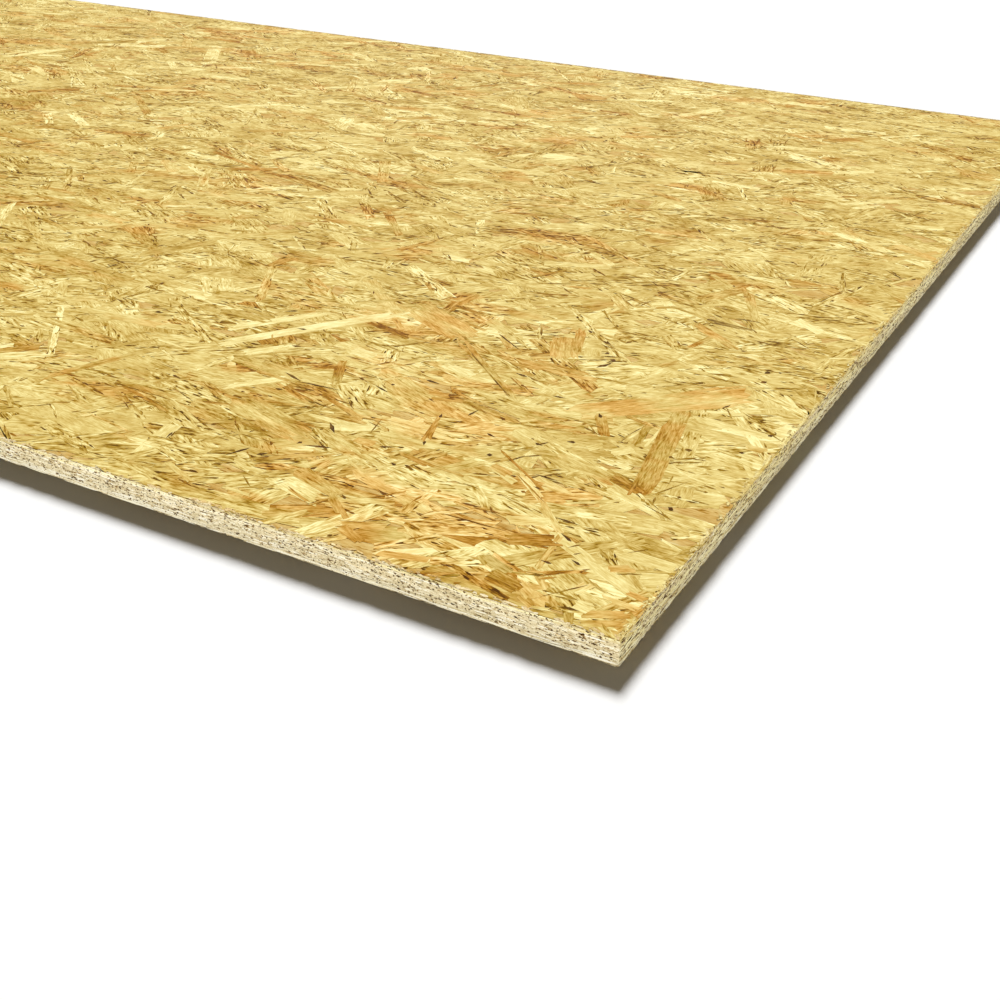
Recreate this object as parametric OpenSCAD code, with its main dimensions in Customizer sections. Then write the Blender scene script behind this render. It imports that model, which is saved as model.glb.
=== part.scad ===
// Oriented strand board panel, square-edged, lying flat on its underside.
// X runs along the face strands, Y across them and Z through the thickness.

/* [Panel] */
// Length of the panel, along the face strands
panel_length = 2440; // [600:10:5000]
// Width of the panel, across the face strands
panel_width = 1220; // [300:10:2800]
// Thickness of the pressed panel
panel_thickness = 18; // [6:1:40]

/* [Edges] */
// Arris broken off every sawn edge, measured along each face
arris = 0.6; // [0.2:0.1:2]

/* [Hidden] */
// Straw colour of the pressed strands
strand_color = [0.84, 0.67, 0.37];
// Run of each profile past the panel, so that its own ends cut nothing
overrun = 5;

// Rectangle about the origin with its four corners cut off by the arris
module broken_rectangle(size_x, size_y) {
    x = size_x / 2;
    y = size_y / 2;
    polygon([
        [x, y - arris], [x - arris, y],
        [arris - x, y], [-x, y - arris],
        [-x, arris - y], [arris - x, -y],
        [x - arris, -y], [x, arris - y]
    ]);
}

// One profile run along Z, from end to end of the given depth and past it
module run_profile(size_x, size_y, depth) {
    linear_extrude(depth + 2 * overrun, center = true)
        broken_rectangle(size_x, size_y);
}

// The panel is what its plan, its long section and its cross section have in common
module osb_panel() {
    color(strand_color)
        translate([0, 0, panel_thickness / 2])
            intersection() {
                run_profile(panel_length, panel_width, panel_thickness);
                rotate([90, 0, 0])
                    run_profile(panel_length, panel_thickness, panel_width);
                rotate([90, 0, 90])
                    run_profile(panel_width, panel_thickness, panel_length);
            }
}

osb_panel();
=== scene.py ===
# One oriented strand board panel: wood strands pressed into both faces, edges sawn square
import math

import bmesh
import bpy
import numpy as np
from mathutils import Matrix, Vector


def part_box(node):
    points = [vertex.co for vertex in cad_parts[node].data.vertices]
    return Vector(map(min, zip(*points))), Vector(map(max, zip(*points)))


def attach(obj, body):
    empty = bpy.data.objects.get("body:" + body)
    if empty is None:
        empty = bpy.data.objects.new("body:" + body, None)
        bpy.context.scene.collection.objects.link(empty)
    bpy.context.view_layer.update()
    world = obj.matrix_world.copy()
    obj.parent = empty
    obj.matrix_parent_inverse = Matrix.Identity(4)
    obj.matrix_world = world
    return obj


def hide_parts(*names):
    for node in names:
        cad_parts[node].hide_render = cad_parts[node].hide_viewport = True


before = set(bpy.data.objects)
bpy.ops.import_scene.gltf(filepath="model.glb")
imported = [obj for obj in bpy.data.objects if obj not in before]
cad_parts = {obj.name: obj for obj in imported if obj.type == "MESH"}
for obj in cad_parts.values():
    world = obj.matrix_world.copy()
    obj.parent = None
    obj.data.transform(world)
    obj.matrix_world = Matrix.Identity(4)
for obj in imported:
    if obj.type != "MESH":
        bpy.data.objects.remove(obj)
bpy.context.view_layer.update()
mm = 0.001
panelLow, panelHigh = (np.array(corner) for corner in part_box("osb_panel"))
panelSize = panelHigh - panelLow
nearCorner = np.array([panelHigh[0], panelLow[1]])  # the corner that the camera looks at
print("frame loaded, panel of", [round(side / mm, 1) for side in panelSize], "mm")


# Camera, floor and light

cameraPlace = {
    "fromCorner": (247.1, -561.8, 467.2),  # mm from the foot of the near corner
    "azimuth": 29.91,  # degrees from +Y towards -X
    "pitch": 30.45,  # degrees below the horizon
    "lens": 48.99,  # mm, on a sensor of 36 mm
    "sensor": 36.0,
    "shift": (-0.00094, 0.00084),  # share of the picture width
}


def makeCamera(place):
    data = bpy.data.cameras.new("camera")
    data.lens = place["lens"]
    data.sensor_width = place["sensor"]
    data.shift_x, data.shift_y = place["shift"]
    data.clip_start = 0.02
    data.clip_end = 100.0
    camera = bpy.data.objects.new("camera", data)
    bpy.context.scene.collection.objects.link(camera)
    foot = Vector((nearCorner[0], nearCorner[1], panelLow[2]))
    camera.location = foot + Vector(place["fromCorner"]) * mm
    camera.rotation_euler = (math.radians(90 - place["pitch"]), 0, math.radians(place["azimuth"]))
    bpy.context.scene.camera = camera


def addNode(tree, kind, inputs=None, **settings):
    node = tree.nodes.new(kind)
    for name, value in settings.items():
        setattr(node, name, value)
    for name, value in (inputs or {}).items():
        if isinstance(value, bpy.types.NodeSocket):
            tree.links.new(value, node.inputs[name])
        else:
            node.inputs[name].default_value = value
    return node


def calc(tree, operation, *values):
    return addNode(tree, "ShaderNodeMath", dict(enumerate(values)), operation=operation).outputs[0]


def mixColor(tree, factor, first, second):
    return addNode(tree, "ShaderNodeMix", {0: factor, 6: first, 7: second}, data_type="RGBA").outputs[2]


def linear(red, green, blue):
    part = np.array([red, green, blue]) / 255.0
    low = part / 12.92
    high = ((part + 0.055) / 1.055) ** 2.4
    return (*np.where(part <= 0.04045, low, high).tolist(), 1.0)


lightPlan = {
    "keyFrom": (-12.7, 23.3, 19),  # direction the main light comes from, behind the panel
    "keyStrength": 5.0,
    "keySoftness": 14.0,  # degrees
    "keyColor": (0.985, 1.0, 1.015),
    "fillFrom": (17.5, -30, 4.0),  # low fill on the front and right edges, which the floor doesn't get
    "fillStrength": 3.0,
    "fillSoftness": 10.0,
    "backStrength": 3.6,  # main light on the edges that face it, weaker so that they don't glare
    "skyColor": (0.146, 0.1245, 0.0855, 1.0),
    "floorColor": (253, 253, 253),
    "floorSize": 60.0,  # m
    "floorDrop": 0.6,  # mm, keeps the floor clear of the underside
}
filledPieces = bpy.data.collections.new("filledPieces")  # what the fill lights
backPieces = bpy.data.collections.new("backPieces")  # what the weaker main light reaches
dimmedPieces = bpy.data.collections.new("dimmedPieces")  # the same, kept out of the full main light


def makeSun(name, comesFrom, strength, softness, color=(1, 1, 1)):
    data = bpy.data.lights.new(name, "SUN")
    data.energy = strength
    data.color = color
    data.angle = math.radians(softness)
    lamp = bpy.data.objects.new(name, data)
    lamp.rotation_euler = Vector(comesFrom).to_track_quat("Z", "Y").to_euler()
    bpy.context.scene.collection.objects.link(lamp)
    return lamp


def seenDirectly(tree):
    rays = addNode(tree, "ShaderNodeLightPath").outputs
    mirrored = calc(tree, "MAXIMUM", rays["Is Glossy Ray"], rays["Is Transmission Ray"])
    return calc(tree, "MAXIMUM", rays["Is Camera Ray"], mirrored)


def makeStudio(plan):
    key = makeSun("keyLight", plan["keyFrom"], plan["keyStrength"], plan["keySoftness"], plan["keyColor"])
    key.light_linking.receiver_collection = dimmedPieces
    back = makeSun("backLight", plan["keyFrom"], plan["backStrength"], plan["keySoftness"], plan["keyColor"])
    back.light_linking.receiver_collection = backPieces
    fill = makeSun("fillLight", plan["fillFrom"], plan["fillStrength"], plan["fillSoftness"])
    fill.light_linking.receiver_collection = filledPieces

    world = bpy.data.worlds.new("studio")
    world.use_nodes = True
    tree = world.node_tree
    tree.nodes.clear()
    color = mixColor(tree, seenDirectly(tree), plan["skyColor"], (1, 1, 1, 1))
    sky = addNode(tree, "ShaderNodeBackground", {"Color": color})
    addNode(tree, "ShaderNodeOutputWorld", {"Surface": sky.outputs[0]})
    bpy.context.scene.world = world

    bm = bmesh.new()
    bmesh.ops.create_grid(bm, x_segments=1, y_segments=1, size=plan["floorSize"] / 2)
    bmesh.ops.translate(bm, verts=bm.verts, vec=(0, 0, panelLow[2] - plan["floorDrop"] * mm))
    mesh = bpy.data.meshes.new("floor")
    bm.to_mesh(mesh)
    bm.free()
    floor = bpy.data.objects.new("floor", mesh)
    bpy.context.scene.collection.objects.link(floor)
    material = bpy.data.materials.new("floorPaper")
    material.use_nodes = True
    tree = material.node_tree
    tree.nodes.clear()
    paper = addNode(tree, "ShaderNodeBsdfDiffuse", {"Color": linear(*plan["floorColor"])})
    addNode(tree, "ShaderNodeOutputMaterial", {"Surface": paper.outputs[0]})
    mesh.materials.append(material)


makeCamera(cameraPlace)
makeStudio(lightPlan)
bpy.context.scene.view_settings.view_transform = "Standard"
print("camera, light and floor made")


# Wood finishes

strawPalette = [  # sRGB, from bark and gaps to the palest sapwood
    (0.00, (78, 50, 0)),
    (0.15, (116, 80, 0)),
    (0.30, (160, 124, 20)),
    (0.45, (193, 162, 80)),
    (0.60, (214, 189, 110)),
    (0.75, (230, 211, 137)),
    (0.90, (243, 230, 160)),
    (1.00, (251, 241, 177)),
]
tanPalette = [  # strands from nearer the heart of the log
    (0.00, (82, 46, 0)),
    (0.15, (122, 75, 0)),
    (0.30, (167, 115, 14)),
    (0.45, (198, 149, 64)),
    (0.60, (219, 177, 95)),
    (0.75, (235, 200, 122)),
    (0.90, (246, 221, 148)),
    (1.00, (252, 234, 170)),
]
greyPalette = [  # strands with weathered or barky wood
    (0.00, (46, 38, 24)),
    (0.30, (122, 104, 66)),
    (0.60, (184, 164, 112)),
    (1.00, (226, 212, 164)),
]
sawnPalette = [  # strands cut across by the saw
    (0.00, (58, 44, 26)),
    (0.20, (124, 105, 72)),
    (0.40, (182, 166, 126)),
    (0.60, (217, 204, 165)),
    (0.80, (238, 229, 197)),
    (1.00, (250, 245, 225)),
]


def rampNode(tree, value, palette):
    node = addNode(tree, "ShaderNodeValToRGB", {"Fac": value})
    marks = node.color_ramp.elements
    while len(marks) < len(palette):
        marks.new(1.0)
    for mark, (place, color) in zip(marks, palette):
        mark.position = place
        mark.color = linear(*color)
    return node.outputs["Color"]


def scaledVector(tree, vector, perMetre):
    values = {0: vector, 1: (*perMetre, 0.0)}
    return addNode(tree, "ShaderNodeVectorMath", values, operation="MULTIPLY").outputs[0]


def noise(tree, vector, perMetre, **settings):
    values = {"Vector": scaledVector(tree, vector, perMetre), "Scale": 1.0, **settings}
    return addNode(tree, "ShaderNodeTexNoise", values, noise_dimensions="2D").outputs["Fac"]


def spread(tree, value, fromMin, fromMax, toMin=0.0, toMax=1.0, kind="LINEAR"):
    return addNode(tree, "ShaderNodeMapRange", {
        "Value": value, "From Min": fromMin, "From Max": fromMax, "To Min": toMin, "To Max": toMax,
    }, interpolation_type=kind).outputs[0]


def newGroup(name, inputs, outputs):
    tree = bpy.data.node_groups.new(name, "ShaderNodeTree")
    for socket, kind in inputs.items():
        tree.interface.new_socket(socket, in_out="INPUT", socket_type=kind)
    for socket in outputs:
        tree.interface.new_socket(socket, in_out="OUTPUT", socket_type="NodeSocketFloat")
    return tree, addNode(tree, "NodeGroupInput").outputs


grainCells = {  # noise cells a metre, along and across the grain
    "wave": (22, 40),
    "streak": (56, 330),
    "fibre": (140, 820),
    "blotch": (36, 90),
    "dash": (90, 420),
}
waveDepth = 0.005  # m by which the grain sways at most
dashPlan = {  # noise levels between which dashes and their clusters come up, and the least share of dashes; dashes are small hollows with their shade painted dark, and partly dark fibres
    "spots": (0.59, 0.71), "clusters": (0.42, 0.62), "leastShare": 0.25, "depth": 0.5,
}


def makeGrainGroup(cells):
    tree, given = newGroup("strandGrain", {
        "Grain": "NodeSocketVector", "Streak": "NodeSocketFloat", "Fibre": "NodeSocketFloat",
        "Blotch": "NodeSocketFloat", "Dash": "NodeSocketFloat"}, ("Shift", "Height"))
    wave = calc(tree, "MULTIPLY", noise(tree, given["Grain"], cells["wave"], Detail=1.0), waveDepth)
    sway = addNode(tree, "ShaderNodeCombineXYZ", {"Y": wave}).outputs[0]
    grain = addNode(tree, "ShaderNodeVectorMath", {0: given["Grain"], 1: sway}).outputs[0]
    streak = noise(tree, grain, cells["streak"], Detail=3.0, Roughness=0.6)
    fibre = noise(tree, grain, cells["fibre"], Detail=2.0, Roughness=0.6)
    blotch = noise(tree, grain, cells["blotch"], Detail=2.0, Roughness=0.55)
    spots = noise(tree, grain, cells["dash"], Detail=1.5, Roughness=0.5)
    clusters = spread(tree, blotch, *dashPlan["clusters"], dashPlan["leastShare"], 1.0, "SMOOTHSTEP")
    dash = calc(tree, "MULTIPLY", spread(tree, spots, *dashPlan["spots"], kind="SMOOTHSTEP"), clusters)
    shift = 0.0
    for name, value in (("Streak", streak), ("Fibre", fibre), ("Blotch", blotch)):
        shift = calc(tree, "MULTIPLY_ADD", calc(tree, "SUBTRACT", value, 0.5), given[name], shift)
    # dashes: painted shade of small hollows in the grain, partly dark fibres
    shift = calc(tree, "SUBTRACT", shift, calc(tree, "MULTIPLY", dash, given["Dash"]))
    height = calc(tree, "SUBTRACT", streak, calc(tree, "MULTIPLY", dash, dashPlan["depth"]))
    addNode(tree, "NodeGroupOutput", {"Shift": shift, "Height": height})
    return tree


patchCells = {"tone": (14, 34), "warmth": (8, 18), "broad": (2.2, 3.4)}  # a metre, along and across the panel
patchMove = (7.3, 4.1, 0.0)  # m, keeps the pattern of the warmth apart from that of the tone


def makePatchGroup(cells):
    tree, given = newGroup("pressedPatches", {"Place": "NodeSocketVector"}, ("Tone", "Warmth", "Broad"))
    tone = noise(tree, given["Place"], cells["tone"], Detail=3.0, Roughness=0.6)
    moved = addNode(tree, "ShaderNodeVectorMath", {0: given["Place"], 1: patchMove}).outputs[0]
    warmth = noise(tree, moved, cells["warmth"], Detail=3.0, Roughness=0.6)
    broad = noise(tree, moved, cells["broad"], Detail=1.0, Roughness=0.5)
    values = {"Tone": tone, "Warmth": warmth, "Broad": broad}
    centred = {name: calc(tree, "SUBTRACT", value, 0.5) for name, value in values.items()}
    addNode(tree, "NodeGroupOutput", centred)
    return tree


grainGroup = makeGrainGroup(grainCells)
patchGroup = makePatchGroup(patchCells)


def newMaterial(name):
    material = bpy.data.materials.new(name)
    material.use_nodes = True
    material.node_tree.nodes.clear()
    return material, material.node_tree


def grainOf(tree, vector, finish):
    values = {name: finish[name.lower()] for name in ("Streak", "Fibre", "Blotch", "Dash")}
    return addNode(tree, "ShaderNodeGroup", {"Grain": vector, **values}, node_tree=grainGroup).outputs


def valueOf(tree, attribute):
    return addNode(tree, "ShaderNodeAttribute", attribute_name=attribute).outputs["Fac"]


woodSurface = {
    "bumpStrength": 0.6, "specular": 0.03,
    "heights": (0.2, 0.8),  # the hollows and the ridges of the grain
}


def finishMaterial(tree, color, height, finish):
    surface = woodSurface
    bump = addNode(tree, "ShaderNodeBump", {
        "Strength": surface["bumpStrength"], "Distance": finish["bump"] * mm, "Height": height})
    wood = addNode(tree, "ShaderNodeBsdfPrincipled", {
        "Base Color": color, "Roughness": spread(tree, height, *surface["heights"], *finish["roughness"]),
        "Specular IOR Level": surface["specular"], "Normal": bump.outputs[0]})
    addNode(tree, "ShaderNodeOutputMaterial", {"Surface": wood.outputs[0]})


faceFinish = {
    # least, and what a strand's marks add
    "grain": {"streak": (0.44, 0.66), "fibre": (0.50, 0.26), "blotch": (0.20, 0.20), "dash": (0.0, 0.52)},
    "patch": 0.56, "broad": 0.09, "base": -0.42, "warming": 3.5, "darkWarming": -1.9, "broadWarming": -0.8,
    "bump": 0.05, "roughness": (0.85, 0.65),  # mm, and in the hollows and on the ridges of the grain
}


def makeFaceMaterial(finish):
    material, tree = newMaterial("pressedFaceStrands")
    marks = valueOf(tree, "marks")
    shares = {name: calc(tree, "MULTIPLY_ADD", marks, added, least)
              for name, (least, added) in finish["grain"].items()}
    grain = grainOf(tree, addNode(tree, "ShaderNodeUVMap", uv_map="grain").outputs[0], shares)
    place = addNode(tree, "ShaderNodeTexCoord").outputs["Object"]
    patches = addNode(tree, "ShaderNodeGroup", {"Place": place}, node_tree=patchGroup).outputs
    warmth = valueOf(tree, "warmth")
    shade = calc(tree, "ADD", valueOf(tree, "tone"), grain["Shift"])
    for name, share in (("Tone", "patch"), ("Broad", "broad")):
        shade = calc(tree, "MULTIPLY_ADD", patches[name], finish[share], shade)
    warmed = calc(tree, "ADD", calc(tree, "ADD", warmth, finish["base"]), valueOf(tree, "cast"))
    for name, share in (("Warmth", "warming"), ("Tone", "darkWarming"), ("Broad", "broadWarming")):
        warmed = calc(tree, "MULTIPLY_ADD", patches[name], finish[share], warmed)
    color = mixColor(tree, warmed, rampNode(tree, shade, strawPalette), rampNode(tree, shade, tanPalette))
    color = mixColor(tree, calc(tree, "MULTIPLY", warmth, -1.0), color, rampNode(tree, shade, greyPalette))
    finishMaterial(tree, color, grain["Height"], finish)
    return material


edgeFinish = {
    "streak": 0.50, "fibre": 0.34, "blotch": 0.20, "dash": 0.60,
    "bump": 0.12, "roughness": (0.9, 0.7), "finer": (6.0, 1.3),
}


def makeEdgeMaterial(finish):
    material, tree = newMaterial("sawnStrandEnds")
    place = scaledVector(tree, addNode(tree, "ShaderNodeUVMap", uv_map="grain").outputs[0], finish["finer"])
    grain = grainOf(tree, place, finish)
    shade = calc(tree, "ADD", valueOf(tree, "tone"), grain["Shift"])
    warmth = valueOf(tree, "warmth")  # over 0 turns to tan, under 0 to straw
    color = mixColor(tree, warmth, rampNode(tree, shade, sawnPalette), rampNode(tree, shade, tanPalette))
    color = mixColor(tree, calc(tree, "MULTIPLY", warmth, -1.0), color, rampNode(tree, shade, strawPalette))
    finishMaterial(tree, color, grain["Height"], finish)
    return material


coreFinish = {
    "streak": 0.6, "fibre": 0.4, "blotch": 0.4, "dash": 0.4,
    # the tone is raised to make up for the weaker main light that the body gets: painted light
    "bump": 0.2, "roughness": (0.9, 0.7), "tone": 0.70,
}


def makeCoreMaterial(finish):
    material, tree = newMaterial("packedCore")
    grain = grainOf(tree, addNode(tree, "ShaderNodeUVMap", uv_map="grain").outputs[0], finish)
    color = rampNode(tree, calc(tree, "ADD", grain["Shift"], finish["tone"]), tanPalette)
    finishMaterial(tree, color, grain["Height"], finish)
    return material


faceMaterial = makeFaceMaterial(faceFinish)
edgeMaterial = makeEdgeMaterial(edgeFinish)
coreMaterial = makeCoreMaterial(coreFinish)
print("wood finishes made")


# Shapes that are laid many times over

protoPlan = {
    "seed": 5,
    "flake": {"count": 20, "strips": 4, "tears": (0.08, 0.42)},  # least and most tear of the ends
    "splinter": {"count": 12, "strips": 2, "tears": (0.10, 0.55)},
    "narrowed": (0.8, 1.0), "uneven": 0.5,  # width of a strand's ends, and how far its strips differ
    "sliverBends": (-0.4, 0.1, 0.5), "sliverSkew": 0.2,
    "lensCorners": ((0.5, 0.6), (0.7, 0.3), (0.35, 0.8)),
}


def facePlace(face):
    x, y, z = face.calc_center_median()
    return round(z, 6), round(x, 6), round(y, 6)


def meshArrays(bm):
    bm.verts.index_update()
    points = np.array([vert.co for vert in bm.verts])
    faces = sorted(bm.faces, key=facePlace)  # a fixed order, which the operators don't give
    loops = np.array([[vert.index for vert in face.verts] for face in faces])
    bm.free()
    return points, loops


def strandProto(rng, strips, tear):
    bm = bmesh.new()
    bmesh.ops.create_grid(bm, x_segments=1, y_segments=strips, size=1.0)
    torn = rng.uniform(0, tear, (2, strips + 1))
    narrowed = rng.uniform(*protoPlan["narrowed"], 2)
    rows = np.linspace(-1, 1, strips + 1)
    rows[1:-1] += rng.uniform(-protoPlan["uneven"], protoPlan["uneven"], strips - 1) / strips
    for vert in bm.verts:
        end = int(vert.co.x > 0)
        row = round((vert.co.y + 1) / 2 * strips)
        vert.co.x = (2 * end - 1) * (1 - torn[end, row])
        vert.co.y = rows[row] * narrowed[end]
    count = len(bm.verts)
    bmesh.ops.extrude_face_region(bm, geom=bm.faces[:])
    bm.verts.ensure_lookup_table()
    bmesh.ops.translate(bm, verts=bm.verts[count:], vec=(0, 0, -1))
    bmesh.ops.recalc_face_normals(bm, faces=bm.faces)
    return meshArrays(bm)


def hullProto(outline):
    bm = bmesh.new()
    for x, y in outline:
        bm.verts.new((x, y, 0.0))
    bm.verts.new((0.0, 0.0, -1.0))
    bmesh.ops.convex_hull(bm, input=bm.verts)
    bmesh.ops.triangulate(bm, faces=bm.faces)
    bmesh.ops.recalc_face_normals(bm, faces=bm.faces)
    return meshArrays(bm)


def protoSet(made):
    return {"points": np.array([points for points, loops in made]), "loops": made[0][1]}


def strandProtos(rng, plan):
    tears = np.linspace(*plan["tears"], plan["count"])
    return protoSet([strandProto(rng, plan["strips"], tear) for tear in tears])


protoRng = np.random.default_rng(protoPlan["seed"])
flakes = strandProtos(protoRng, protoPlan["flake"])
splinters = strandProtos(protoRng, protoPlan["splinter"])
slivers = protoSet([hullProto([(-1, 0), (bend, -1), (1, 0), (bend - protoPlan["sliverSkew"], 1)])
                    for bend in protoPlan["sliverBends"]])
lenses = protoSet([hullProto([(-1, 0), (-a, -1), (b, -1), (1, 0), (a, 1), (-b, 1)])
                   for a, b in protoPlan["lensCorners"]])
print("flake, splinter, sliver and lens shapes made")


# Laying: every piece is a joined mesh of many shapes, lowest first

def lay(protos, rng, place, limits, grainReach=3.0):
    count = len(place["length"])
    shape = protos["points"][rng.integers(0, len(protos["points"]), count)]
    flip = rng.choice([-1.0, 1.0], count)[:, None]
    t = shape[..., 0] * flip
    s = shape[..., 1] * flip
    rise = shape[..., 2] * place["depth"][:, None] + place["tilt"][:, :1] * t + place["tilt"][:, 1:] * s
    along = place["along"][:, None]
    across = place["across"][:, None]
    centre = place["centre"][:, None]
    points = (centre + along * (t * place["length"][:, None] / 2)[..., None]
              + across * (s * place["width"][:, None] / 2)[..., None]
              + place["up"][:, None] * rise[..., None])
    points = np.clip(points, *limits)
    offset = points - centre
    grain = np.stack([(offset * along).sum(-1), (offset * across).sum(-1)], -1)
    grain += rng.uniform(0, grainReach, (count, 1, 2))
    values = {key: place[key] for key in ("tone", "warmth", "cast", "marks") if key in place}
    return {"points": points, "loops": protos["loops"], "grain": grain, "values": values}


def joinedMesh(name, sets, material, bakeMap):
    points, starts, loops = [], [], []
    uvs = {"grain": [], "OFBake": []}
    values = {key: [] for key in sets[0]["values"]}
    pointCount = loopCount = 0
    for item in sets:
        count, corners = item["points"].shape[:2]
        faces, sides = item["loops"].shape
        index = (np.arange(count)[:, None, None] * corners + item["loops"][None]).reshape(-1)
        uvs["grain"].append(item["grain"].reshape(-1, 2)[index])
        uvs["OFBake"].append(bakeMap(item["points"]).reshape(-1, 2)[index])
        for key in values:
            values[key].append(np.repeat(item["values"][key], corners))
        points.append(item["points"].reshape(-1, 3))
        starts.append(loopCount + np.arange(count * faces) * sides)
        loops.append(index + pointCount)
        pointCount += count * corners
        loopCount += len(index)
    mesh = bpy.data.meshes.new(name)
    mesh.vertices.add(pointCount)
    mesh.vertices.foreach_set("co", np.concatenate(points).astype(np.float32).ravel())
    mesh.loops.add(loopCount)
    mesh.loops.foreach_set("vertex_index", np.concatenate(loops).astype(np.int32))
    starts = np.concatenate(starts).astype(np.int32)
    mesh.polygons.add(len(starts))
    mesh.polygons.foreach_set("loop_start", starts)
    mesh.update(calc_edges=True)
    mesh.shade_flat()
    for key, parts in uvs.items():
        flat = np.concatenate(parts).astype(np.float32).ravel()
        mesh.uv_layers.new(name=key).uv.foreach_set("vector", flat)
    for key, parts in values.items():
        layer = mesh.attributes.new(key, "FLOAT", "POINT")
        layer.data.foreach_set("value", np.concatenate(parts).astype(np.float32))
    mesh.calc_loop_triangles()
    print(name, len(mesh.loop_triangles), "triangles")
    return addPiece(name, mesh, [material])


def addPiece(name, mesh, materials):
    for material in materials:
        mesh.materials.append(material)
    piece = bpy.data.objects.new(name, mesh)
    bpy.context.scene.collection.objects.link(piece)
    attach(piece, "root")
    return piece


def lightEdge(piece):
    filledPieces.objects.link(piece)
    piece.visible_diffuse = False  # keeps the glow of the lit edge out of the shadow on the floor


def dimKey(piece):
    backPieces.objects.link(piece)
    dimmedPieces.objects.link(piece)
    for item in dimmedPieces.collection_objects:
        item.light_linking.link_state = "EXCLUDE"


def clippedNormal(rng, middle, deviation, lowest, highest, count):
    return np.clip(rng.normal(middle, deviation, count), lowest, highest)


def clippedLog(rng, median, sigma, lowest, highest, count):
    return np.clip(median * np.exp(rng.normal(0, sigma, count)), lowest, highest)


def merged(places):
    return {key: np.concatenate([place[key] for place in places]) for key in places[0]}


def turned(along, across, turn):
    return {
        "along": along * np.cos(turn) + across * np.sin(turn),
        "across": across * np.cos(turn) - along * np.sin(turn),
    }


def ordered(place, rank):
    order = np.argsort(rank)
    return {key: value[order] for key, value in place.items()}


# Panel body under the strands

bodyPlan = {
    "faceInset": 0.40, "edgeInset": 0.22, "arris": 0.12,  # mm
    # the lower arris gets a darker tone: painted contact shade along the foot
    "sawnTone": 0.60, "sawnWarmth": 0.1, "lowerArrisShadeTone": 0.55,
    "faceSlope": 0.9, "arrisSlope": 0.1,  # rise of the normal from which it is a face, and an arris
}


def makeBody(plan):
    bm = bmesh.new()
    bmesh.ops.create_cube(bm, size=1.0)
    inset = np.array([plan["edgeInset"], plan["edgeInset"], plan["faceInset"]]) * mm
    bmesh.ops.scale(bm, verts=bm.verts, vec=Vector(panelSize - 2 * inset))
    bmesh.ops.translate(bm, verts=bm.verts, vec=Vector((panelLow + panelHigh) / 2))
    bmesh.ops.bevel(bm, geom=bm.edges[:], offset=plan["arris"] * mm, offset_type="OFFSET", affect="EDGES",
                    segments=1, profile=0.5, material=-1)
    grain = bm.loops.layers.uv.new("grain")
    for face in bm.faces:
        sawn = abs(face.normal.z) < plan["faceSlope"]
        face.material_index = int(sawn)
        run = 0 if abs(face.normal.y) > abs(face.normal.x) else 1
        for loop in face.loops:
            place = loop.vert.co
            loop[grain].uv = (place[run], place.z) if sawn else (place.x, place.y)
    mesh = bpy.data.meshes.new("panel_body")
    bm.to_mesh(mesh)
    bm.free()
    tones = []
    for face in mesh.polygons:
        # faces of the lower arris take the darker tone of the painted contact shade
        lowerArris = plan["arrisSlope"] < -face.normal.z < plan["faceSlope"]
        tones.append(plan["lowerArrisShadeTone" if lowerArris else "sawnTone"])
    for key, values in (("tone", tones), ("warmth", [plan["sawnWarmth"]] * len(tones))):
        mesh.attributes.new(key, "FLOAT", "FACE").data.foreach_set("value", values)
    body = addPiece("panel_body", mesh, [coreMaterial, edgeMaterial])
    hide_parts("osb_panel")
    lightEdge(body)
    dimKey(body)


makeBody(bodyPlan)
print("panel body made")


# Strands of the two faces, in lanes along the panel

topFace = {
    "name": "top_strands", "seed": 21, "side": 1, "lanes": 4,
    # strands a lane, median and spread of length and width in mm, depth under the face in mm,
    # and the share that lies any way
    "layers": [
        {"shape": flakes, "count": 540, "length": (112, 0.20), "width": (27, 0.22),
         "under": (0.14, 0.20), "stray": 0.15},
        {"shape": flakes, "count": 700, "length": (84, 0.30), "width": (17, 0.36),
         "under": (0.06, 0.14), "stray": 0.15},
        {"shape": splinters, "count": 1200, "length": (38, 0.45), "width": (5.0, 0.45),
         "under": (0.02, 0.045), "stray": 0.07},
    ],
    "gapShades": 4200,  # dark slivers a lane, the painted shade of gaps between strands
}
underFace = {
    "name": "under_strands", "seed": 22, "side": -1, "lanes": 4,
    "layers": [
        {"shape": flakes, "count": 380, "length": (112, 0.20), "width": (28, 0.22),
         "under": (0.14, 0.20), "stray": 0.12},
        {"shape": flakes, "count": 600, "length": (90, 0.28), "width": (18, 0.34),
         "under": (0.06, 0.14), "stray": 0.12},
        {"shape": splinters, "count": 400, "length": (38, 0.45), "width": (5.5, 0.45),
         "under": (0.02, 0.045), "stray": 0.05},
    ],
    "gapShades": 1800,
}
strandHabit = {
    "lengthLimits": (8, 160), "widthLimits": (2.6, 40), "thickness": 0.5,  # mm
    "slender": 0.32,  # most width as a share of the length
    "heading": 7.0, "spread": 27.0,  # degrees from the length of the panel, and about that
    "tone": (0.562, 0.048), "darkShare": 0.02, "darkTone": (0.40, 0.50),
    "paleShare": 0.08, "paleTone": (0.71, 0.82),
    "warmth": (0.5, 3.8), "darkWarmth": 4.0,  # spread from strand to strand, and what a darker tone adds
    "marks": (0.7, 1.1), "mostMarks": 2.0,  # how much a strand is streaked and marked with dashes
    "tilt": 0.02,  # mm of rise at a strand's rim
    "raggedEdge": (0.1, 1.5),  # mm by which strands stop short of the sawn edge
    "cellShape": 4.0, "jitter": (-0.2, 1.2),  # length to width of a strand's cell, and its place in the cell
}
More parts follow.
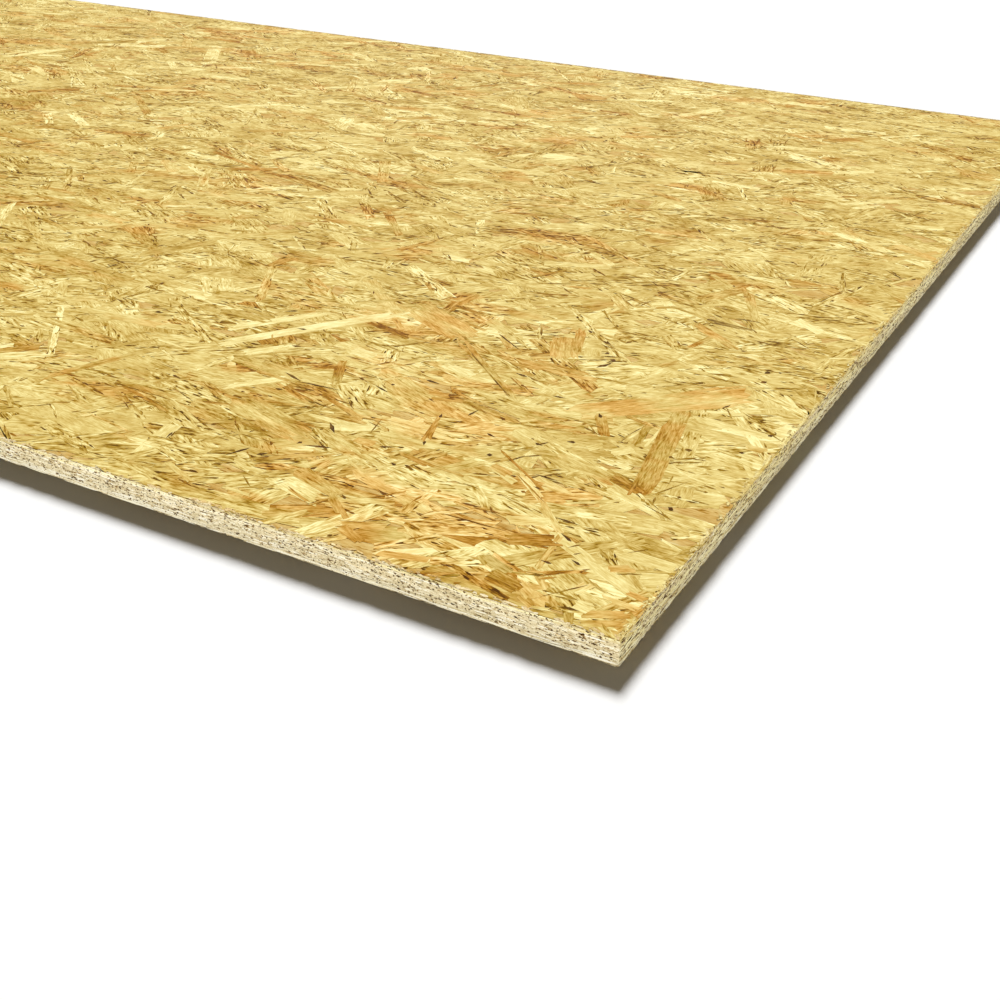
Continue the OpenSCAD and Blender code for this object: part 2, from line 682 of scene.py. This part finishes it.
# Dark slivers along strand rims: the painted shade of gaps between strands, partly dark splinters
gapShadeHabit = {
    "length": (8.5, 0.55, 3.0, 30.0), "width": (1.6, 0.38, 0.6, 3.2),  # mm: median, spread, least, most
    "tone": (0.28, 0.11, 0.04, 0.48), "turn": 8.0, "under": (0.004, 0.018), "thickness": 0.3,
    "warmth": 0.25,  # added to that of the strand
    "liking": 0.6,  # the lower, the more slits gather on few strands
    "reach": 0.9, "rim": (0.5, 1.0),  # share of the strand's half length and half width
}
# Strands that stand out near the corner, in mm from it along the front edge and back along the right edge:
# start along, start back, end along, end back, width, tone, warmth (under 0 is grey)
markedStrands = [
    (456, 207, 366, 330, 12, 0.83, -0.05),
    (470, 235, 420, 300, 9, 0.74, 0.0),
    (428, 200, 406, 225, 9, 0.78, 0.0),
    (402, 141, 367, 186, 7, 0.80, 0.0),
    (500, 262, 440, 260, 10, 0.36, 0.6),
    (492, 275, 446, 268, 4, 0.32, 0.5),
    (377, 303, 334, 292, 6, 0.30, 0.9),
    (366, 352, 288, 314, 28, 0.56, 1.0),
    (335, 372, 303, 360, 3, 0.34, 0.7),
    (401, 186, 357, 181, 14, 0.45, 1.0),
    (351, 226, 331, 190, 7, 0.40, 1.0),
    (327, 170, 278, 151, 4, 0.44, 0.9),
    (376, 131, 300, 108, 24, 0.54, 0.9),
    (358, 122, 298, 125, 4, 0.44, 1.0),
    (360, 106, 310, 97, 4, 0.38, 0.9),
    (290, 130, 262, 146, 8, 0.84, 0.0),
    (273, 68, 232, 54, 11, 0.48, 1.0),
    (229, 123, 199, 117, 4, 0.46, 0.9),
    (201, 119, 171, 116, 3, 0.46, 0.8),
    (236, 191, 220, 142, 4, 0.42, 0.9),
    (201, 317, 221, 355, 21, 0.48, 1.0),
    (216, 378, 196, 328, 7, 0.46, 1.0),
    (226, 305, 170, 300, 5, 0.42, 1.0),
    (292, 310, 200, 236, 5, 0.52, 0.8),
    (290, 307, 202, 234, 1.6, 0.24, 0.6),
    (277, 261, 248, 255, 10, 0.76, -0.05),
    (271, 336, 245, 312, 5, 0.46, 0.9),
    (153, 236, 52, 328, 27, 0.58, 1.0),
    (83, 277, 60, 157, 15, 0.47, 0.85),
    (96, 247, 90, 212, 5, 0.42, 0.35),
    (86, 254, 83, 212, 3, 0.82, 0.0),
    (92, 170, 60, 156, 10, 0.40, 1.0),
    (130, 174, 80, 161, 12, 0.55, 0.9),
    (136, 250, 116, 216, 7, 0.48, 1.0),
    (174, 162, 119, 130, 2.4, 0.36, 0.9),
    (147, 143, 106, 111, 5, 0.80, 0.1),
    (109, 110, 78, 81, 5, 0.64, 0.4),
    (163, 139, 146, 133, 6, 0.54, 0.8),
    (118, 82, 93, 93, 9, 0.76, 0.0),
    (110, 61, 79, 76, 12, 0.33, 1.0),
    (113, 38, 104, 31, 4, 0.36, 0.5),
    (110, 37, 86, 30, 7, 0.42, -0.1),
    (97, 23, 73, 17, 11, 0.35, 1.0),
    (78, 24, 62, 13, 7, 0.54, 1.0),
    (130, 447, 91, 445, 5, 0.30, -0.3),
    (176, 460, 145, 454, 3, 0.34, 0.3),
    (138, 434, 90, 404, 8, 0.50, 1.0),
    (333, 370, 301, 362, 4, 0.40, 0.6),
    (356, 248, 334, 247, 10, 0.82, -0.05),
    (72, 274, 14, 272, 8, 0.78, 0.0),
    (43, 83, 3, 82, 11, 0.76, 0.0),
    (27, 110, 5, 102, 2.6, 0.78, 0.0),
    (38, 12, 33, 1, 4.5, 0.36, 0.1),
    (40, 20, 28, 18, 6, 0.78, 0.0),
    (36, 10, 4, 27, 6, 0.52, 0.7),
    (30, 3, 2, 18, 5, 0.54, 0.7),
    (40, 62, 25, 70, 6, 0.56, 0.8),
    (18, 46, 1, 43, 4, 0.54, 0.7),
    (45, 30, 40, 43, 6, 0.76, 0.0),
    (27, 34, 1, 33, 4, 0.74, 0.0),
    (17, 63, 2, 71, 10, 0.74, 0.0),
    (12, 55, 1, 62, 7, 0.72, 0.0),
    (70, 12, 57, 5, 5, 0.52, 1.0),
    (205, 22, 184, 14, 6, 0.54, 1.0),
    (236, 52, 209, 32, 5, 0.50, 0.9),
    (24, 250, 9, 251, 6, 0.60, 0.8),
    (124, 387, 117, 415, 4, 0.50, 0.9),
    (118, 192, 110, 204, 6, 0.72, 0.0),
    (100, 195, 90, 208, 9, 0.78, 0.0),
    (130, 342, 121, 357, 5, 0.50, 1.0),
    (266, 124, 250, 124, 7, 0.58, 1.0),
]
# Patches of strands from one log: along, back, reach in mm, tone and warmth added
logPatches = [
    (400, 284, 30, 0.07, -0.4), (430, 250, 28, -0.26, 0.3), (470, 250, 30, -0.06, 0.2),
    (385, 208, 26, -0.16, 0.4), (417, 189, 18, 0.10, -0.5), (340, 325, 35, -0.08, 0.6),
    (340, 185, 25, 0.0, 0.3), (360, 160, 25, -0.06, 0.2), (340, 115, 35, -0.11, 0.5),
    (240, 45, 28, -0.12, 0.5), (304, 70, 40, 0.05, -0.1), (275, 52, 20, -0.04, 0.1),
    (190, 35, 40, 0.02, 0.4), (115, 50, 25, -0.09, 1.1), (95, 65, 20, -0.28, 0.2),
    (98, 24, 21, -0.24, 0.4), (25, 240, 40, 0.04, -0.4), (20, 295, 30, 0.30, -1.6),
    (8, 251, 14, 0.34, -0.4), (27, 146, 35, 0.21, -0.9), (17, 72, 25, 0.06, -0.4),
    (58, 47, 17, 0.43, -1.4), (155, 300, 30, 0.05, -0.2), (120, 450, 50, 0.03, -0.2),
    (200, 385, 45, 0.07, -0.2), (155, 165, 30, 0.07, -0.1), (120, 130, 40, 0.08, -0.1),
    (140, 80, 35, 0.13, 0.2), (100, 195, 22, 0.12, -0.3), (305, 190, 30, 0.12, 0.1),
    (330, 240, 22, 0.12, -0.1), (260, 155, 35, 0.06, 0.0), (217, 86, 25, 0.12, 0.4),
    (238, 231, 40, 0.0, 1.3), (215, 305, 20, -0.09, 0.4), (71, 82, 28, -0.18, 0.0),
    (13, 111, 20, -0.24, 0.1), (178, 105, 18, -0.20, 0.6), (182, 16, 20, 0.14, -0.1),
    (50, 280, 18, -0.18, -1.4), (56, 334, 25, -0.04, -0.7), (129, 182, 15, -0.13, 0.2),
    (121, 12, 16, 0.40, -0.1), (139, 41, 18, 0.06, 0.2), (91, 110, 20, 0.09, -0.5),
    (280, 267, 20, 0.20, -0.1), (160, 275, 22, 0.06, -0.2), (254, 351, 20, 0.09, 0.0),
    (170, 62, 22, 0.0, 0.5), (158, 25, 18, -0.06, 0.7), (40, 185, 22, -0.01, -0.3),
    (33, 237, 14, -0.18, 0.0), (249, 112, 18, -0.04, 0.2),
]
frayPlan = {
    "fibreWidth": 2.6, "overlap": 1.7,  # mm, and the share of its width that each fibre takes
    "slide": 0.05, "length": (0.8, 1.12), "turn": 0.03, "tone": 0.03, "warmth": 0.12,
    "under": (0.004, 0.011), "wholeUnder": (0.012, 0.016),  # mm
    "wholeWidth": 7.0,  # mm, from which a strand also lies whole under its fibres
    "wholeShare": (1.08, 0.95),  # of its length and width
    "marks": 0.15,
    "warmFrom": 0.2,  # warmth from which it differs from fibre to fibre
}
# Knots and bark, and the painted shade of deep pits: start along, start back, end along, end back, width
darkMarks = [
    (172, 316, 165, 328, 4.0), (169, 334, 164, 335, 4.6), (178, 343, 175, 346, 3.6),
    (58, 225, 53, 227, 4.4), (51, 354, 47, 358, 5.0), (54, 371, 51, 376, 4.0), (312, 71, 306, 77, 3.2),
    (297, 136, 284, 124, 3.4), (135, 195, 129, 197, 3.4), (42, 207, 33, 209, 1.6),
    (9, 207, 3, 209, 1.8), (11, 200, 3, 202, 1.6), (135, 246, 130, 240, 3.4), (422, 261, 413, 263, 3.0),
    (404, 231, 396, 233, 3.6), (24, 240, 20, 241, 3.0), (294, 98, 273, 105, 2.2),
    (160, 68, 110, 70, 1.8), (133, 143, 113, 142, 2.0), (140, 108, 109, 99, 1.6), (78, 51, 70, 51, 2.4),
    (62, 61, 54, 58, 2.2), (94, 100, 75, 99, 2.0), (82, 85, 71, 79, 2.4), (271, 335, 238, 314, 2.0),
    (222, 276, 210, 274, 2.6), (275, 231, 262, 230, 2.6), (216, 195, 214, 207, 2.0),
    (190, 178, 181, 175, 2.4), (153, 182, 146, 181, 2.8), (262, 137, 268, 161, 1.4),
    (245, 123, 235, 128, 2.2), (331, 58, 322, 77, 2.6), (356, 180, 320, 183, 2.0),
    (378, 188, 357, 181, 3.0), (144, 138, 107, 112, 1.8), (40, 42, 60, 16, 1.4),
    (303, 203, 288, 198, 2.2), (294, 210, 291, 212, 3.0), (298, 98, 296, 102, 3.0),
    (174, 150, 170, 152, 4.4), (219, 140, 222, 146, 2.6), (232, 182, 234, 188, 2.6),
    (225, 108, 220, 106, 3.0), (58, 205, 51, 207, 1.8), (50, 215, 38, 218, 1.6),
    (36, 147, 32, 146, 4.0), (15, 273, 12, 277, 3.4), (52, 156, 37, 187, 1.4), (36, 84, 26, 95, 1.6),
    (366, 161, 360, 162, 2.4), (229, 56, 223, 52, 2.4), (302, 44, 286, 33, 1.4),
    (60, 298, 56, 307, 2.0),
]


def evenPlaces(rng, count, laneLow, laneWidth):
    cellX = math.sqrt(panelSize[0] * laneWidth / count * strandHabit["cellShape"])
    columns = max(1, round(panelSize[0] / cellX))
    rows = math.ceil(count / columns)
    cells = rng.permutation(columns * rows)[:count]
    jitter = strandHabit["jitter"]
    x = panelLow[0] + (cells % columns + rng.uniform(*jitter, count)) / columns * panelSize[0]
    y = laneLow + (cells // columns + rng.uniform(*jitter, count)) / rows * laneWidth
    return x, y


def levelUnder(face, under):
    level = panelHigh[2] if face["side"] > 0 else panelLow[2]
    return level - face["side"] * under * mm


def fromCorner(x, y):
    # mm from the near corner, along the front edge and back along the right edge
    return (nearCorner[0] - x) / mm, (y - nearCorner[1]) / mm


def flatPlaces(face, x, y, angle, under):
    zero = np.zeros(len(x))
    return {
        "centre": np.stack([x, y, levelUnder(face, under)], -1),
        "along": np.stack([np.cos(angle), np.sin(angle), zero], -1),
        "across": np.stack([-np.sin(angle), np.cos(angle), zero], -1) * face["side"],
        "up": np.tile([0.0, 0.0, face["side"]], (len(x), 1)),
    }


def patchShift(x, y, patches):
    along, back, reach, tone, warmth = np.array(patches).reshape(-1, 5).T
    alongHere, backHere = fromCorner(x[:, None], y[:, None])
    near = np.exp(-((alongHere - along) ** 2 + (backHere - back) ** 2) / (2 * reach ** 2))
    return near @ tone, near @ warmth


def strandPlaces(rng, face, layer, laneLow, laneWidth):
    count = layer["count"]
    habit = strandHabit
    x, y = evenPlaces(rng, count, laneLow, laneWidth)
    patchTone, patchWarmth = patchShift(x, y, face["patches"])
    angle = rng.normal(math.radians(habit["heading"]), math.radians(habit["spread"]), count)
    stray = rng.random(count) < layer["stray"]
    angle = np.where(stray, rng.uniform(-math.pi / 2, math.pi / 2, count), angle)
    tone = rng.normal(*habit["tone"], count)
    pick = rng.random(count)
    tone = np.where(pick < habit["darkShare"], rng.uniform(*habit["darkTone"], count), tone)
    tone = np.where(pick > 1 - habit["paleShare"], rng.uniform(*habit["paleTone"], count), tone) + patchTone
    warmth = rng.beta(*habit["warmth"], count) + (habit["tone"][0] - tone) * habit["darkWarmth"]
    length = clippedLog(rng, *layer["length"], *habit["lengthLimits"], count)
    width = clippedLog(rng, *layer["width"], *habit["widthLimits"], count)
    return {
        **flatPlaces(face, x, y, angle, rng.uniform(*layer["under"], count)),
        "length": length * mm,
        "width": np.minimum(width, length * habit["slender"]) * mm,
        "depth": np.full(count, habit["thickness"] * mm),
        "tilt": rng.normal(0, habit["tilt"] * mm / 2, (count, 2)),
        "tone": tone,
        "warmth": np.clip(warmth, 0, 1),
        "cast": patchWarmth,
        "marks": rng.beta(*habit["marks"], count) * habit["mostMarks"],
    }


def spanPlaces(face, rows, under):
    # rows that give both ends of a strand or mark, in mm from the near corner
    alongStart, backStart, alongEnd, backEnd = rows[:, :4].T
    stepX, stepY = alongStart - alongEnd, backEnd - backStart
    x = nearCorner[0] - (alongStart + alongEnd) / 2 * mm
    y = nearCorner[1] + (backStart + backEnd) / 2 * mm
    return {
        **flatPlaces(face, x, y, np.arctan2(stepY, stepX), under),
        "length": np.hypot(stepX, stepY) * mm,
        "width": rows[:, 4] * mm,
        "depth": np.full(len(rows), strandHabit["thickness"] * mm),
        "tilt": np.zeros((len(rows), 2)),
        "cast": np.zeros(len(rows)),
    }


def wholePlaces(rng, face, rows):
    rows = rows[rows[:, 4] >= frayPlan["wholeWidth"]]
    place = spanPlaces(face, rows, rng.uniform(*frayPlan["wholeUnder"], len(rows)))
    ofLength, ofWidth = frayPlan["wholeShare"]
    return {
        **place, "length": place["length"] * ofLength, "width": place["width"] * ofWidth,
        "tone": rows[:, 5], "warmth": rows[:, 6], "marks": np.full(len(rows), frayPlan["marks"]),
    }


def frayedPlaces(rng, face, rows):
    # every marked strand is frayed into parallel fibres about as wide as the plan says
    plan = frayPlan
    fibres = np.maximum(1, np.round(rows[:, 4] / plan["fibreWidth"])).astype(int)
    pick = np.repeat(np.arange(len(rows)), fibres)
    aside = (np.arange(len(pick)) - np.repeat(np.cumsum(fibres) - fibres, fibres) + 0.5) / fibres[pick] - 0.5
    count = len(pick)
    place = spanPlaces(face, rows[pick], rng.uniform(*plan["under"], count))
    slide = rng.normal(0, plan["slide"], count) * place["length"]
    place["centre"] += place["along"] * slide[:, None] + place["across"] * (aside * place["width"])[:, None]
    turn = rng.normal(0, plan["turn"], count)[:, None]
    warmth = rows[pick, 6]
    return {
        **place,
        **turned(place["along"], place["across"], turn),
        "length": place["length"] * rng.uniform(*plan["length"], count),
        "width": np.minimum(place["width"], place["width"] / fibres[pick] * plan["overlap"]),
        "tone": rows[pick, 5] + rng.normal(0, plan["tone"], count),
        "warmth": warmth + rng.normal(0, plan["warmth"], count) * (warmth > plan["warmFrom"]),
        "marks": np.full(count, plan["marks"]),
    }


darkPlan = {
    "under": 0.002, "tone": (-0.10, 0.06),
    "thinWidth": 2.0, "thinTone": 0.26,  # mm, and what is added to the tone of thinner ones
}


# knots and bark are dark wood; the pits are dark slivers of painted shade
def darkPlaces(rng, face, rows):
    plan = darkPlan
    count = len(rows)
    return {
        **spanPlaces(face, rows, np.full(count, plan["under"])),
        "tone": rng.uniform(*plan["tone"], count) + plan["thinTone"] * (rows[:, 4] < plan["thinWidth"]),
        "warmth": rng.random(count), "marks": np.zeros(count),
    }


# Broad heartwood and sapwood strands on the rest of the face, where none is marked
heartPlan = {
    "seed": 1, "lane": 170,  # strands a lane
    "length": (35, 120), "width": (6, 17), "slender": 0.25,  # mm, and most width as a share of the length
    "tone": (0.40, 0.62), "warmth": (0.5, 1.0),
    "paleShare": 0.2, "paleTone": (0.76, 0.84),
    "apart": (500, 470),  # mm of the face that are left out, along and back from the near corner
}


def heartStrands(rng, face, place):
    plan = heartPlan
    along, back = fromCorner(*place["centre"][:, :2].T)
    rest = (along > plan["apart"][0]) | (back > plan["apart"][1])
    pick = rng.choice(np.flatnonzero(rest), plan["lane"], replace=False)
    count = len(pick)
    place["centre"][pick, 2] = levelUnder(face, rng.uniform(*frayPlan["wholeUnder"], count))
    place["length"][pick] = rng.uniform(*plan["length"], count) * mm
    width = rng.uniform(*plan["width"], count) * mm
    place["width"][pick] = np.minimum(width, place["length"][pick] * plan["slender"])
    place["tilt"][pick] = 0.0
    pale = rng.random(count) < plan["paleShare"]
    tone, paleTone, warmth = (rng.uniform(*plan[key], count) for key in ("tone", "paleTone", "warmth"))
    place["tone"][pick] = np.where(pale, paleTone, tone)
    place["warmth"][pick] = np.where(pale, 0.0, warmth)


def clearOf(place, rows):
    # leaves out what lies on a wide marked strand
    rows = rows[rows[:, 4] >= frayPlan["wholeWidth"]]
    centre = np.stack(fromCorner(*place["centre"][:, :2].T), -1)[:, None]
    start, end = rows[:, :2], rows[:, 2:4]
    run = end - start
    share = np.clip(((centre - start) * run).sum(-1) / (run ** 2).sum(-1), 0, 1)
    gap = np.linalg.norm(centre - start - share[..., None] * run, axis=-1)
    free = (gap > rows[:, 4] / 2).all(-1)
    return {key: value[free] for key, value in place.items()}


def gapShadePlaces(rng, face, strands, count):
    # dark slivers along the rims of strands, the painted shade of the gaps between them and partly dark
    # splinters, many on some strands and few on others
    habit = gapShadeHabit
    liking = rng.gamma(habit["liking"], 1.0, len(strands["length"]))
    pick = rng.choice(len(liking), count, p=liking / liking.sum())
    side = rng.choice([-1.0, 1.0], count)
    t = rng.uniform(-habit["reach"], habit["reach"], count)
    along, across = strands["along"][pick], strands["across"][pick]
    centre = (strands["centre"][pick] + along * (t * strands["length"][pick] / 2)[:, None]
              + across * (side * strands["width"][pick] / 2 * rng.uniform(*habit["rim"], count))[:, None])
    turn = rng.normal(0, math.radians(habit["turn"]), count)[:, None]
    centre[:, 2] = levelUnder(face, rng.uniform(*habit["under"], count))
    return {
        "centre": centre, "up": strands["up"][pick],
        **turned(along, across, turn),
        "length": clippedLog(rng, *habit["length"], count) * mm,
        "width": clippedLog(rng, *habit["width"], count) * mm,
        "depth": np.full(count, habit["thickness"] * mm), "tilt": np.zeros((count, 2)),
        "tone": clippedNormal(rng, *habit["tone"], count),
        "warmth": np.clip(strands["warmth"][pick] + habit["warmth"], 0, 1),
        "cast": strands["cast"][pick], "marks": np.zeros(count),
    }


def laneBake(laneLow, laneWidth, rows=2, margin=80 * mm, rim=0.002):
    # a plan view of the lane, its length folded into rows
    rowLength = panelSize[0] / rows

    def bake(points):
        middle = points.mean(1, keepdims=True)[..., 0]
        row = np.clip(np.floor((middle - panelLow[0]) / rowLength), 0, rows - 1)
        u = (points[..., 0] - panelLow[0] - row * rowLength + margin) / (rowLength + 2 * margin)
        v = (points[..., 1] - laneLow + margin) / (laneWidth + 2 * margin)
        return np.stack([np.clip(u, 0, 1), (row + np.clip(v, rim, 1 - rim)) / rows], -1)

    return bake


def inLane(place, laneLow, laneWidth):
    y = place["centre"][:, 1]
    inside = (y >= laneLow) & (y < laneLow + laneWidth)
    return {key: value[inside] for key, value in place.items()}


def raggedLimits(rng, count):
    short = rng.uniform(*strandHabit["raggedEdge"], (count, 1, 1)) * mm * np.array([1.0, 1.0, 0.0])
    return panelLow + short, panelHigh - short


def makeFace(face):
    rng = np.random.default_rng(face["seed"])
    laneWidth = panelSize[1] / face["lanes"]
    marked = np.array(face["marked"]).reshape(-1, 7)
    apart = [(flakes, wholePlaces(rng, face, marked)), (splinters, frayedPlaces(rng, face, marked)),
             (slivers, darkPlaces(rng, face, np.array(face["dark"]).reshape(-1, 5)))]
    for lane in range(face["lanes"]):
        laneLow = panelLow[1] + lane * laneWidth
        rng = np.random.default_rng((face["seed"], lane))
        layers = [strandPlaces(rng, face, layer, laneLow, laneWidth) for layer in face["layers"]]
        heartStrands(np.random.default_rng((face["seed"], lane, heartPlan["seed"])), face, layers[-1])
        gapShades = gapShadePlaces(rng, face, merged(layers[1:]), face["gapShades"])
        laid = [(layer["shape"], ordered(place, place["centre"][:, 2] * face["side"]))
                for layer, place in zip(face["layers"], layers)]
        laid.append((slivers, clearOf(gapShades, marked)))
        laid += [(shape, inLane(place, laneLow, laneWidth)) for shape, place in apart]
        sets = [lay(shape, rng, place, raggedLimits(rng, len(place["length"]))) for shape, place in laid]
        piece = joinedMesh(f"{face['name']}_{lane + 1}", sets, faceMaterial, laneBake(laneLow, laneWidth))
        if face["side"] > 0:
            filledPieces.objects.link(piece)


topFace.update(marked=markedStrands, dark=darkMarks, patches=logPatches)
underFace.update(marked=[], dark=[], patches=[])
makeFace(topFace)
makeFace(underFace)
print("face strands laid")


# Strand ends on the four sawn edges

edgePlan = {
    "seed": 31,
    "faceLayer": 4.6,  # mm from each face in which strands run along the panel
    "foot": 0.1, "head": 0.3,  # mm of the lower and of the upper arris left bare
    # sections a metre of edge over the full thickness, median and spread of their length in mm
    "lengthwise": {"perMetre": 1000, "length": (28, 0.45), "tone": (0.75, 0.14), "warmth": 0.02},
    "crosswise": {"perMetre": 3600, "length": (7, 0.42), "tone": (0.71, 0.15), "warmth": 0.08},
    "thickness": (0.80, 0.30, 0.35, 1.7),  # mm: median, spread, least, most
    "lengthLimits": (2.5, 110), "depth": 0.3, "relief": 0.20,  # mm
    "lean": 0.035,  # radians
    "warmthSpread": 0.12,
    # dark slivers painted as the shade in gaps, and torn fibres, a metre of edge, their sizes and depths in
    # mm and their turn in radians
    "voidShades": {"perMetre": 2100, "length": (1.9, 0.45, 0.7, 6.0), "width": (0.95, 0.30, 0.4, 1.7),
              "tone": (0.17, 0.12, 0.0, 0.45), "warmth": 0.5, "below": 0.4, "relief": (0.0, 0.02)},
    "chips": {"perMetre": 400, "length": (5.0, 0.55, 1.5, 16.0), "width": (1.5, 0.45, 0.6, 3.6),
              "inward": (0.1, 4.4), "under": (0.0, 0.02), "turn": 0.25, "tone": (0.62, 0.10),
              "warmthSpread": (0.0, 0.2)},
    # warmth and tone added on the long and on the short sides, tone lost and warmth won from mid height to
    # the top, tone added in the lowest part, tone and warmth added in the highest part, the share of the dark
    # slivers of painted gap shade, how much longer they are, the chips' warmth at the arris with what it wins
    # farther in, and the rows that the edge's bake map is folded into
    "longSide": {"warmth": 0.0, "tone": 0.045, "upper": -0.02, "upperWarmth": 0.06, "rim": 0.14,
                 "crown": (-0.08, -0.65), "voidShades": 1.0, "voidLength": 1.0, "chipWarmth": (0.0, 0.7),
                 "bakeRows": 8},
    "shortSide": {"warmth": -0.66, "tone": 0.085, "upper": 0.08, "upperWarmth": -0.2, "rim": 0.16,
                  "crown": (0.0, -0.2), "voidShades": 0.7, "voidLength": 1.8, "chipWarmth": (-0.9, 0.0),
                  "bakeRows": 4},
    "rimHeight": 2.4, "crownHeight": 2.0,  # mm
}
panelSides = [
    {"name": "front", "start": (0, 0), "run": (1, 0), "outward": (0, -1)},
    {"name": "right", "start": (1, 0), "run": (0, 1), "outward": (1, 0)},
    {"name": "back", "start": (1, 1), "run": (-1, 0), "outward": (0, 1)},
    {"name": "left", "start": (0, 1), "run": (0, -1), "outward": (-1, 0)},
]
upward = np.array([0.0, 0.0, 1.0])


def sideFrame(side):
    run = np.array([*side["run"], 0.0])
    start = panelLow + np.array([*side["start"], 0.0]) * panelSize
    return start, run, np.array([*side["outward"], 0.0]), abs(panelSize @ run)


def sidePlaces(rng, side, z, relief):
    start, run, outward, reach = sideFrame(side)
    count = len(z)
    depth = rng.uniform(*relief, count)[:, None] * mm
    lean = rng.normal(0, edgePlan["lean"], count)[:, None]
    along = run * rng.uniform(0, reach, count)[:, None]
    return {
        "centre": start + along - outward * depth + upward * z[:, None] * mm,
        **turned(run, upward, lean),
        "up": np.tile(outward, (count, 1)),
        "depth": np.full(count, edgePlan["depth"] * mm),
        "tilt": np.zeros((count, 2)),
        "rank": -depth[:, 0],
    }


def castOf(side):
    return edgePlan["longSide" if side["run"][0] else "shortSide"]


def sectionPlaces(rng, side, plan, strands, zLow, zHigh):
    reach = sideFrame(side)[3]
    thick = panelSize[2] / mm
    count = round(strands["perMetre"] * reach * (zHigh - zLow) / thick)
    z = rng.uniform(zLow, zHigh, count)
    cast = castOf(side)
    height = 2 * z / thick - 1
    crownTone, crownWarmth = cast["crown"]
    crown = z > thick - plan["crownHeight"]
    tone = rng.normal(*strands["tone"], count) + cast["tone"] - cast["upper"] * height
    warmth = strands["warmth"] + cast["warmth"] + cast["upperWarmth"] * height + crownWarmth * crown
    return {
        **sidePlaces(rng, side, z, (0.0, plan["relief"])),
        "length": clippedLog(rng, *strands["length"], *plan["lengthLimits"], count) * mm,
        "width": clippedLog(rng, *plan["thickness"], count) * mm,
        "tone": tone + cast["rim"] * (z < plan["rimHeight"]) + crownTone * crown,
        "warmth": clippedNormal(rng, warmth, plan["warmthSpread"], -1, 1, count),
    }


# Dark slivers on the sawn edge: the painted shade of the gaps between strand ends
def voidShadePlaces(rng, side, voidShades):
    count = round(voidShades["perMetre"] * castOf(side)["voidShades"] * sideFrame(side)[3])
    z = rng.uniform(edgePlan["rimHeight"], panelSize[2] / mm - voidShades["below"], count)
    return {
        **sidePlaces(rng, side, z, voidShades["relief"]),
        "length": clippedLog(rng, *voidShades["length"], count) * castOf(side)["voidLength"] * mm,
        "width": clippedLog(rng, *voidShades["width"], count) * mm,
        "tone": clippedNormal(rng, *voidShades["tone"], count),
        "warmth": rng.random(count) * voidShades["warmth"],
    }


def chipPlaces(rng, side, chips, faceSide):
    # torn fibres along an arris, flat on the face
    start, run, outward, reach = sideFrame(side)
    count = round(chips["perMetre"] * reach)
    angle = rng.normal(0, chips["turn"], count)[:, None]
    level = (panelSize[2] if faceSide > 0 else 0.0) - faceSide * rng.uniform(*chips["under"], count) * mm
    warmth, warming = castOf(side)["chipWarmth"]
    least, most = chips["inward"]
    inward = (least + (most - least) * rng.random(count) ** 2)[:, None] * mm  # most are at the arris
    along = run * rng.uniform(0, reach, count)[:, None]
    return {
        "centre": start + along - outward * inward + upward * level[:, None],
        "along": run * np.cos(angle) + outward * np.sin(angle),
        "across": (run * np.sin(angle) - outward * np.cos(angle)) * faceSide,
        "up": np.tile(upward * faceSide, (count, 1)),
        "length": clippedLog(rng, *chips["length"], count) * mm,
        "width": clippedLog(rng, *chips["width"], count) * mm,
        "depth": np.full(count, edgePlan["depth"] * mm),
        "tilt": np.zeros((count, 2)),
        "tone": rng.normal(*chips["tone"], count),
        "warmth": warmth + warming * inward[:, 0] / mm / most + rng.uniform(*chips["warmthSpread"], count),
        "rank": -inward[:, 0],
    }


def edgeBake(side, margin=60 * mm, strip=4 * mm, rim=0.01):
    # the edge seen square on, its length folded into rows, with a strip of each face turned into its plane
    start, run, outward, reach = sideFrame(side)
    rows = castOf(side)["bakeRows"]
    rowLength = reach / rows
    height = panelSize[2] + 2 * strip

    def bake(points):
        s = (points - start) @ run
        row = np.clip(np.floor(s.mean(1, keepdims=True) / rowLength), 0, rows - 1)
        u = (s - row * rowLength + margin) / (rowLength + 2 * margin)
        z = points[..., 2] - panelLow[2]
        inward = (start - points) @ outward
        v = (z + np.sign(z - panelSize[2] / 2) * inward + strip) / height
        return np.stack([np.clip(u, 0, 1), (row + np.clip(v, rim, 1 - rim)) / rows], -1)

    return bake


def makeEdges(plan):
    rng = np.random.default_rng(plan["seed"])
    thick = panelSize[2] / mm
    for side in panelSides:
        alongPanel = side["run"][0] != 0
        outer = plan["lengthwise" if alongPanel else "crosswise"]
        inner = plan["crosswise" if alongPanel else "lengthwise"]
        sections = merged([
            sectionPlaces(rng, side, plan, outer, plan["foot"], plan["faceLayer"]),
            sectionPlaces(rng, side, plan, inner, plan["faceLayer"], thick - plan["faceLayer"]),
            sectionPlaces(rng, side, plan, outer, thick - plan["faceLayer"], thick - plan["head"]),
        ])
        chips = [chipPlaces(rng, side, plan["chips"], faceSide) for faceSide in (-1, 1)]
        voidShades = voidShadePlaces(rng, side, plan["voidShades"])
        sets = []
        for shape, place in ((lenses, sections), (lenses, merged(chips)), (slivers, voidShades)):
            place = ordered(place, place.pop("rank"))
            sets.append(lay(shape, rng, place, (panelLow, panelHigh)))
        piece = joinedMesh(f"{side['name']}_edge_strands", sets, edgeMaterial, edgeBake(side))
        lightEdge(piece)
        if side["name"] in ("back", "left"):
            dimKey(piece)


makeEdges(edgePlan)
print("sawn edges made")
